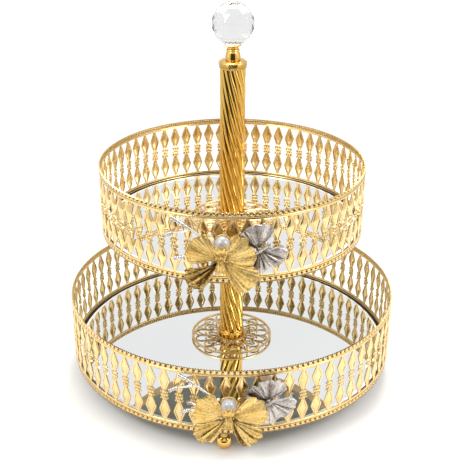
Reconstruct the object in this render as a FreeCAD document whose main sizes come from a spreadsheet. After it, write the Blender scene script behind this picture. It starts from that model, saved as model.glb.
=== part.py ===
"""Two-tier cake stand with pierced galleries, mirror trays, fluted columns and a crystal ball finial.

Millimetres, +Z up. The stand rests on z = 0. Its column stands axis_offset behind the origin, so
that the origin is the middle of the footprint with the ornaments on its front (-Y) side.
"""
import FreeCAD, Part
import math
import os

import Sketcher

Vector = FreeCAD.Vector
Rotation = FreeCAD.Rotation
Placement = FreeCAD.Placement

UP = Vector(0, 0, 1)
FRONT = Vector(0, -1, 0)

doc = FreeCAD.newDocument("CakeStand")
sub_parts = []


# ---------------------------------------------------------------- driving dimensions

DIMENSIONS = {
    # where the column stands, so that the footprint is centred on the origin
    "axis_offset": 8.9,
    # trays
    "lower_radius": 150.0,
    "upper_radius": 118.2,
    "lower_level": 18.2,
    "upper_level": 142.1,
    "pan_thickness": 0.8,
    "pan_inset": 0.3,
    "pad_thickness": 0.6,
    "mirror_thickness": 2.0,
    "mirror_gap": 2.0,
    "bevel_width": 5.0,
    "bevel_drop": 0.9,
    "underside_inset": 12.0,
    "underside_thickness": 1.0,
    "underside_hole": 14.0,
    # galleries
    "rail_height": 6.2,
    "rail_thickness": 1.8,
    "baluster_height": 48.7,
    "baluster_thickness": 1.6,
    "diamond_width": 10.3,
    "diamond_height": 19.6,
    "knot_width": 6.6,
    "waist_width": 3.4,
    "tip_width": 2.2,
    "lower_baluster_count": 72,
    "upper_baluster_count": 62,
    "lower_baluster_start": -1.7,
    "upper_baluster_start": 0.0,
    # ball feet, peened through the pan
    "foot_count": 4,
    "foot_start": -92.4,
    "foot_inset": 7.0,
    "foot_radius": 7.0,
    "foot_centre": 6.6,
    "foot_neck_radius": 3.4,
    "foot_spigot_radius": 2.0,
    "foot_head_thickness": 0.5,
    "foot_head_clearance": 0.6,
    # threads, as plain cylinders
    "stud_radius": 3.0,
    "thread_clearance": 0.05,
    "through_clearance": 0.3,
    "glass_clearance": 1.0,
    "engagement": 6.0,
    "joining_stud_length": 25.0,
    "finial_stud_length": 20.0,
    "screw_head_radius": 5.5,
    "screw_head_height": 3.5,
    "washer_radius": 9.0,
    "washer_thickness": 1.2,
    # rosettes and columns
    "rosette_radius": 38.3,
    "rosette_height": 4.2,
    "rosette_web": 2.0,
    "rosette_hub": 12.5,
    "rosette_openings": 12,
    "rosette_opening_radius": 5.4,
    "rosette_opening_circle": 27.5,
    "collar_radius": 12.0,
    "collar_height": 7.0,
    "collar_chamfer": 0.8,
    "column_radius": 11.0,
    "column_wall": 1.2,
    "column_top_level": 287.0,
    "insert_height": 12.0,
    # cap, neck and ball
    "cap_radius": 12.2,
    "cap_thickness": 7.0,
    "cap_rounding": 1.6,
    "neck_base_radius": 6.9,
    "neck_waist_radius": 5.2,
    "neck_cup_radius": 7.3,
    "neck_lower_height": 8.8,
    "neck_upper_height": 4.5,
    "neck_ring_radius": 1.0,
    "ball_radius": 18.2,
    # ornaments on the front of each gallery
    "petal_thickness": 1.6,
    "flower_boss_radius": 4.0,
    "gold_standoff": 8.5,
    "silver_standoff": 4.0,
    "twig_standoff": 1.0,
    "twig_radius": 1.2,
    "stamen_radius": 0.7,
    "stamen_reach": 7.0,
    "stamen_lift": 1.6,
    "bead_standoff": 11.5,
    "bead_radius": 6.3,
    "bead_cup_wall": 0.7,
    "post_radius": 1.4,
}

dims = doc.addObject("Spreadsheet::Sheet", "Dims")
for row, (alias, size) in enumerate(DIMENSIONS.items(), start=1):
    dims.set(f"A{row}", alias)
    dims.set(f"B{row}", str(size))
    dims.setAlias(f"B{row}", alias)
doc.recompute()


def size_of(expression):
    """The present value of an expression in the sheet's aliases."""
    return float(dims.evalExpression(expression))


def bind(thing, prop, expression):
    thing.setExpression(prop, expression)


def in_sheet(words):
    """Puts the sheet's name before each alias in an expression."""
    parts = []
    word = ""
    for letter in words + " ":
        if letter.isalnum() or letter == "_":
            word += letter
            continue
        parts.append(f"Dims.{word}" if word in DIMENSIONS else word)
        parts.append(letter)
        word = ""
    return "".join(parts).strip()


def finish(thing, label, level="0", turn="0"):
    """Names a sub-part and stands it on the column's axis at a level."""
    thing.Label = label
    thing.Placement = Placement(Vector(0, 0, 0), Rotation(UP, 0))
    bind(thing, ".Placement.Base.y", in_sheet("axis_offset"))
    bind(thing, ".Placement.Base.z", in_sheet(level))
    if turn != "0":
        bind(thing, ".Placement.Rotation.Angle", in_sheet(turn))
    sub_parts.append(thing)
    return thing


# ---------------------------------------------------------------- PartDesign helpers

def origin_item(body, role):
    return next(item for item in body.Origin.OriginFeatures if item.Role == role)


def new_body(label):
    body = doc.addObject("PartDesign::Body", label)
    body.AllowCompound = True
    return body


def new_sketch(body, name, role="XY_Plane"):
    sketch = body.newObject("Sketcher::SketchObject", name)
    sketch.AttachmentSupport = (origin_item(body, role), [""])
    sketch.MapMode = "FlatFace"
    return sketch


def add_circle(sketch, name, radius, reach="0"):
    """A circle on the sketch's X axis, reach from its origin, with both sizes bound."""
    radius = in_sheet(radius)
    reach = in_sheet(reach)
    centre = Vector(size_of(reach), 0, 0)
    circle = sketch.addGeometry(Part.Circle(centre, UP, size_of(radius)), False)
    if reach == "0":
        sketch.addConstraint(Sketcher.Constraint("Coincident", circle, 3, -1, 1))
    else:
        sketch.addConstraint(Sketcher.Constraint("PointOnObject", circle, 3, -1))
        index = sketch.addConstraint(Sketcher.Constraint("DistanceX", -1, 1, circle, 3, centre.x))
        sketch.renameConstraint(index, f"{name}_reach")
        bind(sketch, f"Constraints.{name}_reach", reach)
    index = sketch.addConstraint(Sketcher.Constraint("Radius", circle, size_of(radius)))
    sketch.renameConstraint(index, f"{name}_radius")
    bind(sketch, f"Constraints.{name}_radius", radius)


def add_outline(sketch, corners):
    """A closed outline of straight lines through corners, whose coordinates are expressions."""
    places = [(in_sheet(across), in_sheet(along)) for across, along in corners]
    points = [Vector(size_of(across), size_of(along), 0) for across, along in places]
    lines = []
    for start, end in zip(points, points[1:] + points[:1]):
        lines.append(sketch.addGeometry(Part.LineSegment(start, end), False))
    for number, line in enumerate(lines):
        following = lines[(number + 1) % len(lines)]
        sketch.addConstraint(Sketcher.Constraint("Coincident", line, 2, following, 1))
    for number, (line, point, place) in enumerate(zip(lines, points, places)):
        for kind, distance, words in zip(("DistanceX", "DistanceY"), point, place):
            index = sketch.addConstraint(Sketcher.Constraint(kind, -1, 1, line, 1, distance))
            sketch.renameConstraint(index, f"corner{number}_{kind}")
            bind(sketch, f"Constraints.corner{number}_{kind}", words)


def pad(body, sketch, name, length):
    feature = body.newObject("PartDesign::Pad", name)
    feature.Profile = sketch
    bind(feature, "Length", in_sheet(length))
    sketch.Visibility = False
    return feature


def pocket(body, sketch, name, depth, upwards):
    """A pocket into the body from the sketch's plane, upwards or downwards."""
    feature = body.newObject("PartDesign::Pocket", name)
    feature.Profile = sketch
    feature.Reversed = upwards
    bind(feature, "Length", in_sheet(depth))
    sketch.Visibility = False
    return feature


def around(body, feature, name, count):
    """Repeats a feature around the body's Z axis."""
    pattern = body.newObject("PartDesign::PolarPattern", name)
    pattern.Originals = [feature]
    pattern.Axis = (origin_item(body, "Z_Axis"), [""])
    pattern.Angle = 360
    bind(pattern, "Occurrences", in_sheet(count))
    body.Tip = pattern
    return pattern


def ring_body(label, outer, inner, height):
    """A flat ring or, with a small inner radius, a disc with a centre hole."""
    body = new_body(label)
    sketch = new_sketch(body, f"{label}_plan")
    add_circle(sketch, "outer", outer)
    add_circle(sketch, "inner", inner)
    pad(body, sketch, f"{label}_pad", height)
    return body


def rim_edges(feature, radius, height):
    """Names of the full circles of a radius at a height."""
    names = []
    for number, edge in enumerate(feature.Shape.Edges, start=1):
        curve = edge.Curve
        if not hasattr(curve, "Radius"):
            continue
        at_height = abs(curve.Center.z - height) < 1e-4
        if at_height and abs(curve.Radius - radius) < 1e-4:
            names.append(f"Edge{number}")
    return names


# ---------------------------------------------------------------- trays

MIRROR_RADIUS = "({tier}_radius - rail_thickness - mirror_gap)"
PAD_LEVEL = "({tier}_level + pan_thickness)"
MIRROR_LEVEL = "({tier}_level + pan_thickness + pad_thickness)"
ROSETTE_LEVEL = "({tier}_level + pan_thickness + pad_thickness + mirror_thickness)"
COLUMN_LEVEL = "({tier}_level + pan_thickness + pad_thickness + mirror_thickness + rosette_height)"


def foot_holes(body, name, radius, depth):
    """A ring of holes over the feet, through a disc."""
    sketch = new_sketch(body, f"{name}_plan")
    add_circle(sketch, "hole", radius, "lower_radius - foot_inset")
    sketch.AttachmentOffset = Placement(Vector(0, 0, 0), Rotation(UP, size_of("Dims.foot_start")))
    bind(sketch, "AttachmentOffset.Rotation.Angle", in_sheet("foot_start"))
    hole = pocket(body, sketch, name, depth, upwards=True)
    around(body, hole, f"{name}_ring", "foot_count")


def tray_pan(tier):
    """The sheet-steel floor that carries the mirror, with the gallery brazed on its edge."""
    label = f"{tier}_tray_pan"
    body = ring_body(label, f"{tier}_radius - pan_inset", "stud_radius + through_clearance", "pan_thickness")
    if tier == "lower":
        foot_holes(body, "spigot_holes", "foot_spigot_radius", "pan_thickness")
    finish(body, label, f"{tier}_level")


def underside_disc(tier):
    """Felt stuck beneath the pan, open in the middle for the screw or the column's head."""
    label = f"{tier}_underside_disc"
    body = ring_body(label, f"{tier}_radius - underside_inset", "underside_hole", "underside_thickness")
    finish(body, label, f"{tier}_level - underside_thickness")


def mirror_pad(tier):
    """Black foam between the pan and the glass, which shows as a dark line around the mirror."""
    label = f"{tier}_mirror_pad"
    hole = "stud_radius + glass_clearance"
    body = ring_body(label, f"{tier}_radius - rail_thickness", hole, "pad_thickness")
    if tier == "lower":
        clearance = "foot_neck_radius + foot_head_clearance"
        foot_holes(body, "head_holes", clearance, "pad_thickness")
    finish(body, label, PAD_LEVEL.format(tier=tier))


def mirror(tier):
    """Round mirror glass with a wide shallow bevel and a centre hole."""
    label = f"{tier}_mirror"
    radius = MIRROR_RADIUS.format(tier=tier)
    body = ring_body(label, radius, "stud_radius + glass_clearance", "mirror_thickness")
    doc.recompute()
    glass = body.Tip
    rim = rim_edges(glass, size_of(in_sheet(radius)), size_of("Dims.mirror_thickness"))
    bevel = body.newObject("PartDesign::Chamfer", f"{label}_bevel")
    bevel.Base = (glass, rim)
    bevel.ChamferType = "Two distances"
    bind(bevel, "Size", in_sheet("bevel_drop"))
    bind(bevel, "Size2", in_sheet("bevel_width"))
    doc.recompute()
    thickness = glass.Length.Value
    top = max(face.Area for face in bevel.Shape.Faces if abs(face.CenterOfMass.z - thickness) < 1e-4)
    widest = size_of(in_sheet(f"{radius} - (bevel_width + bevel_drop) / 2"))
    if top > math.pi * widest ** 2:
        bevel.FlipDirection = True
    finish(body, label, MIRROR_LEVEL.format(tier=tier))


def rail(tier, where, level):
    """One of the two bands that the balusters stand between."""
    label = f"{tier}_{where}_rail"
    body = ring_body(label, f"{tier}_radius", f"{tier}_radius - rail_thickness", "rail_height")
    finish(body, label, level)


def balusters(tier):
    """Flat bars of two long diamonds with a knot between them, all around the tray."""
    label = f"{tier}_balusters"
    body = new_body(label)
    sketch = new_sketch(body, f"{label}_outline", "XZ_Plane")
    half_side = [
        ("tip_width / 2", "0"),
        ("diamond_width / 2", "diamond_height / 2"),
        ("waist_width / 2", "diamond_height"),
        ("knot_width / 2", "baluster_height / 2"),
        ("waist_width / 2", "baluster_height - diamond_height"),
        ("diamond_width / 2", "baluster_height - diamond_height / 2"),
        ("tip_width / 2", "baluster_height"),
    ]
    other_side = [(f"-{across}", along) for across, along in reversed(half_side)]
    add_outline(sketch, half_side + other_side)
    bind(sketch, "AttachmentOffset.Base.z", in_sheet(f"{tier}_radius - rail_thickness / 2"))
    bar = pad(body, sketch, f"{label}_bar", "baluster_thickness")
    bar.Midplane = True
    around(body, bar, f"{label}_ring", f"{tier}_baluster_count")
    level = f"{tier}_level + pan_thickness + rail_height"
    finish(body, label, level, f"{tier}_baluster_start")


def gallery(tier):
    rail(tier, "bottom", f"{tier}_level + pan_thickness")
    balusters(tier)
    rail(tier, "top", f"{tier}_level + pan_thickness + rail_height + baluster_height")


def tray(tier):
    tray_pan(tier)
    underside_disc(tier)
    mirror_pad(tier)
    mirror(tier)
    gallery(tier)


# ---------------------------------------------------------------- Part helpers

def cylinder(name, radius, height, base="0"):
    solid = doc.addObject("Part::Cylinder", name)
    bind(solid, "Radius", in_sheet(radius))
    bind(solid, "Height", in_sheet(height))
    bind(solid, ".Placement.Base.z", in_sheet(base))
    return solid


def cone(name, lower, upper, height, base="0"):
    solid = doc.addObject("Part::Cone", name)
    bind(solid, "Radius1", in_sheet(lower))
    bind(solid, "Radius2", in_sheet(upper))
    bind(solid, "Height", in_sheet(height))
    bind(solid, ".Placement.Base.z", in_sheet(base))
    return solid


def fuse(name, solids):
    joined = doc.addObject("Part::MultiFuse", name)
    joined.Shapes = solids
    return joined


def cut(name, base, tool):
    left = doc.addObject("Part::Cut", name)
    left.Base = base
    left.Tool = tool
    return left


# ---------------------------------------------------------------- feet and fasteners

def ball_feet():
    """Brass balls on short necks. Each spigot passes through the pan and is peened over it."""
    spigot_top = "lower_level + pan_thickness + foot_head_thickness"
    feet = []
    for number in range(int(size_of("Dims.foot_count"))):
        ball = doc.addObject("Part::Sphere", f"foot_ball_{number}")
        bind(ball, "Radius", in_sheet("foot_radius"))
        bind(ball, "Angle1", in_sheet("-asin(foot_centre / foot_radius)"))
        bind(ball, ".Placement.Base.z", in_sheet("foot_centre"))
        neck_height = "lower_level - foot_centre"
        neck = cylinder(f"foot_neck_{number}", "foot_neck_radius", neck_height, "foot_centre")
        spigot_height = f"{spigot_top} - foot_centre"
        spigot = cylinder(f"foot_spigot_{number}", "foot_spigot_radius", spigot_height, "foot_centre")
        head_level = "lower_level + pan_thickness"
        head = cylinder(f"foot_head_{number}", "foot_neck_radius", "foot_head_thickness", head_level)
        foot = fuse(f"foot_{number}", [ball, neck, spigot, head])
        angle = math.radians(size_of("Dims.foot_start") + 360 * number / size_of("Dims.foot_count"))
        for axis, share in (("x", math.cos(angle)), ("y", math.sin(angle))):
            bind(foot, f".Placement.Base.{axis}", in_sheet(f"{share} * (lower_radius - foot_inset)"))
        feet.append(foot)
    group = doc.addObject("Part::Compound", "ball_feet")
    group.Links = feet
    finish(group, "ball_feet")


def base_screw():
    """The screw that holds the lower column down from beneath the pan."""
    shank_height = f"washer_thickness + {COLUMN_LEVEL.format(tier='lower')} - lower_level + engagement"
    head = cylinder("screw_head", "screw_head_radius", "screw_head_height", "-screw_head_height")
    shank = cylinder("screw_shank", "stud_radius", shank_height)
    finish(fuse("base_screw", [head, shank]), "base_screw", "lower_level - washer_thickness")
    washer = ring_body("base_washer", "washer_radius", "stud_radius", "washer_thickness")
    finish(washer, "base_washer", "lower_level - washer_thickness")


# ---------------------------------------------------------------- rosettes and columns

def rosette(tier):
    """A pierced disc that a hub holds off the mirror, around the column's foot."""
    label = f"{tier}_rosette"
    bore = "stud_radius + through_clearance"
    body = ring_body(label, "rosette_radius", bore, "rosette_height")
    hollow = new_sketch(body, f"{label}_hollow_plan")
    add_circle(hollow, "outer", "rosette_radius + rosette_web")
    add_circle(hollow, "inner", "rosette_hub")
    pocket(body, hollow, f"{label}_hollow", "rosette_height - rosette_web", upwards=True)
    piercing = new_sketch(body, f"{label}_piercing_plan")
    add_circle(piercing, "opening", "rosette_opening_radius", "rosette_opening_circle")
    opening = pocket(body, piercing, f"{label}_piercing", "rosette_height", upwards=True)
    around(body, opening, f"{label}_piercings", "rosette_openings")
    finish(body, label, ROSETTE_LEVEL.format(tier=tier))


def column(tier, top):
    """A tube with a foot collar around it and a threaded insert brazed in each end."""
    bottom = COLUMN_LEVEL.format(tier=tier)
    bore = "column_radius - column_wall"
    tube = ring_body(f"{tier}_column", "column_radius", bore, f"{top} - {bottom}")
    finish(tube, f"{tier}_column", bottom)

    label = f"{tier}_foot_collar"
    collar = ring_body(label, "collar_radius", "column_radius", "collar_height")
    doc.recompute()
    band = collar.Tip
    slope = collar.newObject("PartDesign::Chamfer", f"{label}_slope")
    slope.Base = (band, rim_edges(band, size_of("Dims.collar_radius"), size_of("Dims.collar_height")))
    bind(slope, "Size", in_sheet("collar_chamfer"))
    finish(collar, label, bottom)

    thread = "stud_radius + thread_clearance"
    foot_insert = ring_body(f"{tier}_column_foot_insert", bore, thread, "insert_height")
    finish(foot_insert, f"{tier}_column_foot_insert", bottom)
    held = "stud_radius" if tier == "lower" else thread
    head_insert = ring_body(f"{tier}_column_head_insert", bore, held, "insert_height")
    finish(head_insert, f"{tier}_column_head_insert", f"{top} - insert_height")


def joining_stud():
    """Brazed in the lower column's head; it passes through the upper tray into the upper column."""
    stud = cylinder("joining_stud", "stud_radius", "joining_stud_length")
    top = f"{COLUMN_LEVEL.format(tier='upper')} + engagement"
    finish(stud, "joining_stud", f"{top} - joining_stud_length")


# ---------------------------------------------------------------- finial

def column_cap():
    body = ring_body("column_cap", "cap_radius", "stud_radius + through_clearance", "cap_thickness")
    doc.recompute()
    disc = body.Tip
    radius = size_of("Dims.cap_radius")
    rims = rim_edges(disc, radius, 0) + rim_edges(disc, radius, size_of("Dims.cap_thickness"))
    rounding = body.newObject("PartDesign::Fillet", "column_cap_rounding")
    rounding.Base = (disc, rims)
    bind(rounding, "Radius", in_sheet("cap_rounding"))
    finish(body, "column_cap", "column_top_level")


def finial_neck():
    """A waisted turning with a ring at its waist and a cup that the ball stands on."""
    lower = cone("neck_lower", "neck_base_radius", "neck_waist_radius", "neck_lower_height")
    upper_height = "neck_upper_height"
    upper = cone("neck_upper", "neck_waist_radius", "neck_cup_radius", upper_height, "neck_lower_height")
    ring = doc.addObject("Part::Torus", "neck_ring")
    bind(ring, "Radius1", in_sheet("neck_waist_radius"))
    bind(ring, "Radius2", in_sheet("neck_ring_radius"))
    bind(ring, ".Placement.Base.z", in_sheet("neck_lower_height - neck_ring_radius"))
    turning = fuse("neck_turning", [lower, upper, ring])
    depth = "finial_stud_length - engagement - cap_thickness"
    socket = cylinder("neck_socket", "stud_radius", depth)
    finish(cut("finial_neck", turning, socket), "finial_neck", "column_top_level + cap_thickness")


def crystal_ball():
    """A clear ball with a small ground flat at its foot."""
    ball = doc.addObject("Part::Sphere", "crystal_ball")
    bind(ball, "Radius", in_sheet("ball_radius"))
    bind(ball, "Angle1", in_sheet("-acos(neck_cup_radius / ball_radius)"))
    neck_top = "column_top_level + cap_thickness + neck_lower_height + neck_upper_height"
    finish(ball, "crystal_ball", f"{neck_top} + sqrt(ball_radius^2 - neck_cup_radius^2)")


def finial_stud():
    stud = cylinder("finial_stud", "stud_radius", "finial_stud_length")
    finish(stud, "finial_stud", "column_top_level - engagement")


# ---------------------------------------------------------------- ornaments

# a flower: (right of the middle, height) of its centre, and its petals as (direction in degrees
# from the right, anticlockwise, reach from the centre, width)
GOLD_FLOWERS = {
    "lower": ((-2, 43), [(150, 28, 26), (22, 31, 26), (218, 32, 22), (315, 32, 25)]),
    "upper": ((-8, 167.5), [(150, 27, 26), (33, 28, 26), (217, 31, 20), (324, 33, 24)]),
}
SILVER_FLOWERS = {
    "lower": ((29.5, 53), [(85, 19, 19), (160, 20, 13), (335, 24, 17), (272, 21, 16)]),
    "upper": ((21, 174.5), [(92, 22, 20), (335, 22, 17), (268, 20, 15), (140, 21, 9)]),
}
# a bead's centre, as (right of the middle, height)
BEADS = {"lower": (-2, 55), "upper": (-7, 183)}
# a twig is a list of straight stems between two such places
TWIGS = {
    "lower": [[((-43, 78), (-14, 59)), ((-32, 70.8), (-49.5, 58))], [((-41.5, 40), (-12, 49))]],
    "upper": [[((-47, 199.5), (-12, 178)), ((-35, 192.1), (-53, 182))], [((-46, 162), (-18, 169))]],
}
# the pins that hold each flower off its gallery, as (baluster number from the front, height)
POSTS = {
    "lower": {"gold_standoff": [(-1, 51), (1, 35)], "silver_standoff": [(2, 52), (3, 52)]},
    "upper": {"gold_standoff": [(-1, 175), (0, 175)], "silver_standoff": [(2, 173), (1, 182)]},
}


def facing(tier, across):
    """The turn about Z that faces outwards at a place across the front of a tier."""
    return math.degrees(math.asin(across / size_of(f"Dims.{tier}_radius")))


def at_front(tier, standoff, place):
    """The point at a place across the front, a standoff outside the gallery."""
    across, height = place
    reach = size_of(in_sheet(f"{tier}_radius + {standoff}"))
    turn = math.radians(facing(tier, across))
    return Vector(reach * math.sin(turn), -reach * math.cos(turn), height)


def set_in_front(thing, label, tier, standoff, place):
    """Names an ornament and places it outside the gallery, facing outwards."""
    thing.Label = label
    turn = facing(tier, place[0])
    thing.Placement = Placement(at_front(tier, standoff, place), Rotation(UP, turn))
    reach = f"({tier}_radius + {standoff})"
    bind(thing, ".Placement.Base.x", in_sheet(f"{math.sin(math.radians(turn))} * {reach}"))
    bind(thing, ".Placement.Base.y", in_sheet(f"axis_offset - {math.cos(math.radians(turn))} * {reach}"))
    sub_parts.append(thing)


def petal(name, direction, reach, width):
    """A thin elliptical plate from the flower's centre outwards."""
    outline = doc.addObject("Part::Ellipse", f"{name}_outline")
    outline.MajorRadius = reach / 2
    outline.MinorRadius = width / 2
    turn = Rotation(Vector(1, 0, 0), 90) * Rotation(UP, direction)
    outline.Placement = Placement(turn.multVec(Vector(reach / 2, 0, 0)), turn)
    blade = doc.addObject("Part::Extrusion", name)
    blade.Base = outline
    blade.DirMode = "Normal"
    blade.Solid = True
    blade.Symmetric = True
    bind(blade, "LengthFwd", in_sheet("petal_thickness"))
    return blade


def sphere(name, radius, centre=Vector(0, 0, 0)):
    ball = doc.addObject("Part::Sphere", name)
    bind(ball, "Radius", in_sheet(radius))
    ball.Placement = Placement(centre, Rotation(UP, 0))
    return ball


def flower(label, petals):
    """Petals joined by a small boss at their roots."""
    blades = [petal(f"{label}_petal_{number}", *sizes) for number, sizes in enumerate(petals)]
    boss = doc.addObject("Part::Cylinder", f"{label}_boss")
    bind(boss, "Radius", in_sheet("flower_boss_radius"))
    bind(boss, "Height", in_sheet("1.5 * petal_thickness"))
    boss.Placement = Placement(Vector(0, size_of("Dims.petal_thickness") / 2, 0), Rotation(UP, FRONT))
    return fuse(f"{label}_blades", blades + [boss])


def gold_flower(tier):
    """Four broad petals, hollowed for the bead's cup."""
    label = f"{tier}_gold_flower"
    centre, petals = GOLD_FLOWERS[tier]
    blades = flower(label, petals)
    bead = at_front(tier, "bead_standoff", BEADS[tier])
    turn = Rotation(UP, -facing(tier, centre[0]))
    seat = turn.multVec(bead - at_front(tier, "gold_standoff", centre))
    hollow = sphere(f"{label}_hollow", "bead_radius + bead_cup_wall", seat)
    set_in_front(cut(label, blades, hollow), label, tier, "gold_standoff", centre)


def silver_flower(tier):
    label = f"{tier}_silver_flower"
    centre, petals = SILVER_FLOWERS[tier]
    blades = flower(label, petals)
    set_in_front(blades, label, tier, "silver_standoff", centre)


def rod(name, radius, start, end):
    """A round stem between two points, with a ball at each end."""
    stem = doc.addObject("Part::Cylinder", name)
    bind(stem, "Radius", in_sheet(radius))
    stem.Height = (end - start).Length
    stem.Placement = Placement(start, Rotation(UP, end - start))
    return [stem, sphere(f"{name}_root", radius, start), sphere(f"{name}_tip", radius, end)]


def group(label, solids):
    """Separate solids of one kind as one node on the column's axis."""
    node = doc.addObject("Part::Compound", label)
    node.Links = solids
    finish(node, label)


def twigs(tier):
    """Plain silver stems lying against the gallery beside the gold flower."""
    label = f"{tier}_twigs"
    branches = []
    for number, stems in enumerate(TWIGS[tier]):
        pieces = []
        for part, (root, tip) in enumerate(stems):
            start, end = (at_front(tier, "twig_standoff", place) for place in (root, tip))
            pieces += rod(f"{label}_{number}_{part}", "twig_radius", start, end)
        branches.append(fuse(f"{label}_{number}", pieces))
    group(label, branches)


def stamen(tier):
    """A thin silver pin across the silver flower's face, with a ball tip."""
    label = f"{tier}_stamen"
    across, height = SILVER_FLOWERS[tier][0]
    reach = size_of("Dims.stamen_reach")
    root = at_front(tier, "silver_standoff", (across - reach, height - reach / 2))
    tip = at_front(tier, "silver_standoff", (across + reach, height + reach / 2))
    outwards = at_front(tier, "silver_standoff", (across, 0)).normalize() * size_of("Dims.stamen_lift")
    outwards.z = 0
    pin = rod(f"{label}_pin", "stamen_radius", root + outwards, tip + outwards)
    knob = sphere(f"{label}_knob", "2 * stamen_radius", tip + outwards)
    finish(fuse(label, pin + [knob]), label)


def bead_and_cup(tier):
    """A clear bead in a thin half-round gold cup."""
    bead = sphere(f"{tier}_bead", "bead_radius")
    set_in_front(bead, f"{tier}_bead", tier, "bead_standoff", BEADS[tier])
    label = f"{tier}_bead_cup"
    shell = doc.addObject("Part::Sphere", f"{label}_shell")
    bind(shell, "Radius", in_sheet("bead_radius + bead_cup_wall"))
    shell.Angle2 = 0
    shell.Placement = Placement(Vector(0, 0, 0), Rotation(Vector(1, 0, 0), 90))
    inside = sphere(f"{label}_inside", "bead_radius")
    set_in_front(cut(label, shell, inside), label, tier, "bead_standoff", BEADS[tier])


def ornament_posts(tier):
    """Short brazed pins from the balusters to the backs of the flowers."""
    label = f"{tier}_ornament_posts"
    step = 360 / size_of(f"Dims.{tier}_baluster_count")
    pins = []
    for standoff, places in POSTS[tier].items():
        for number, height in places:
            pin = doc.addObject("Part::Cylinder", f"{label}_{len(pins)}")
            bind(pin, "Radius", in_sheet("post_radius"))
            bind(pin, "Height", in_sheet(f"{standoff} + rail_thickness / 2"))
            turn = Rotation(UP, size_of(f"Dims.{tier}_baluster_start") + step * number)
            inner = size_of(in_sheet(f"{tier}_radius - rail_thickness / 2"))
            root = turn.multVec(FRONT * inner) + Vector(0, 0, height)
            pin.Placement = Placement(root, turn * Rotation(UP, FRONT))
            pins.append(pin)
    group(label, pins)


def ornaments(tier):
    gold_flower(tier)
    silver_flower(tier)
    twigs(tier)
    stamen(tier)
    bead_and_cup(tier)
    ornament_posts(tier)


# ---------------------------------------------------------------- the whole stand

def build():
    tray("lower")
    ball_feet()
    base_screw()
    ornaments("lower")
    rosette("lower")
    column("lower", "upper_level")
    joining_stud()
    tray("upper")
    ornaments("upper")
    rosette("upper")
    column("upper", "column_top_level")
    column_cap()
    finial_neck()
    crystal_ball()
    finial_stud()
    doc.recompute()


def check():
    """Stops if any object failed or any sub-part has no sound shape."""
    for thing in doc.Objects:
        if {"Invalid", "Error"} & set(thing.State):
            raise RuntimeError(f"{thing.Label} failed: {thing.State}")
    for thing in sub_parts:
        if thing.Shape.isNull() or not thing.Shape.isValid() or not thing.Shape.Solids:
            raise RuntimeError(f"{thing.Label} has no sound shape")


def export():
    os.makedirs("parts", exist_ok=True)
    for thing in sub_parts:
        thing.Shape.exportStep(f"parts/{thing.Label}.step")
        box = thing.Shape.BoundBox
        low = f"{box.XMin:.1f} {box.YMin:.1f} {box.ZMin:.1f}"
        high = f"{box.XMax:.1f} {box.YMax:.1f} {box.ZMax:.1f}"
        print(f"{thing.Label}: {len(thing.Shape.Solids)} solids, {low} to {high}")


build()
check()
export()
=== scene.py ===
"""The looks of a two-tier cake stand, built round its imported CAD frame. Lengths are in metres."""
import math
import random

import bmesh
import bpy
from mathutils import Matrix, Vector

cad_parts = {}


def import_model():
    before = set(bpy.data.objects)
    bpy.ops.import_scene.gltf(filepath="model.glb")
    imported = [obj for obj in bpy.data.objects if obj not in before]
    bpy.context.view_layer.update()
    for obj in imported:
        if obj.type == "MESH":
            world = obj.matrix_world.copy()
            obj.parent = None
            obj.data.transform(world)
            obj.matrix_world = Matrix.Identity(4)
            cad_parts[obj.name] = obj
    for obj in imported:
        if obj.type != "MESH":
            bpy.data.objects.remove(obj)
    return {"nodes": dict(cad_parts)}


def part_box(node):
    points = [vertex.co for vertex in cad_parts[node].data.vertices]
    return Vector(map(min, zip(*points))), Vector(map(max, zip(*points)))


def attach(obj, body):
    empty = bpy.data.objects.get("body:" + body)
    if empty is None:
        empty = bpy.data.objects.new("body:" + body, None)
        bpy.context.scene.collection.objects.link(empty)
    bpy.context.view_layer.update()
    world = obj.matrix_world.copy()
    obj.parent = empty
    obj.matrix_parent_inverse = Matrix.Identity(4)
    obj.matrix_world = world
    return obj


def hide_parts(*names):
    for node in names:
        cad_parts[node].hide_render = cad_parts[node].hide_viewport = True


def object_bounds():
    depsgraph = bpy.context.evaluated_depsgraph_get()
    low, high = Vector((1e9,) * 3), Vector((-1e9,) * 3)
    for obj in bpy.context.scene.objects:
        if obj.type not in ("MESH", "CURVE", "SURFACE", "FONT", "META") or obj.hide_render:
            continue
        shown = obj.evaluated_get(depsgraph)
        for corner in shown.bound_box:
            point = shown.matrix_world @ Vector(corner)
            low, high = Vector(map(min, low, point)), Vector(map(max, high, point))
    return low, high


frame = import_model()
cad_low, cad_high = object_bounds()

MM = 0.001
FULL_TURN = 2 * math.pi
UP = Vector((0, 0, 1))
TRAYS = {"lower": "base", "upper": "upper_tray"}
BALUSTER_COUNT = {"lower": 72, "upper": 62}
FIRST_BALUSTER = {"lower": math.radians(-1.7), "upper": 0.0}

axis_low, axis_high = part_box("lower_column")
AXIS = Vector(((axis_low.x + axis_high.x) / 2, (axis_low.y + axis_high.y) / 2, 0))


# ---------------------------------------------------------------- meshes

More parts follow.
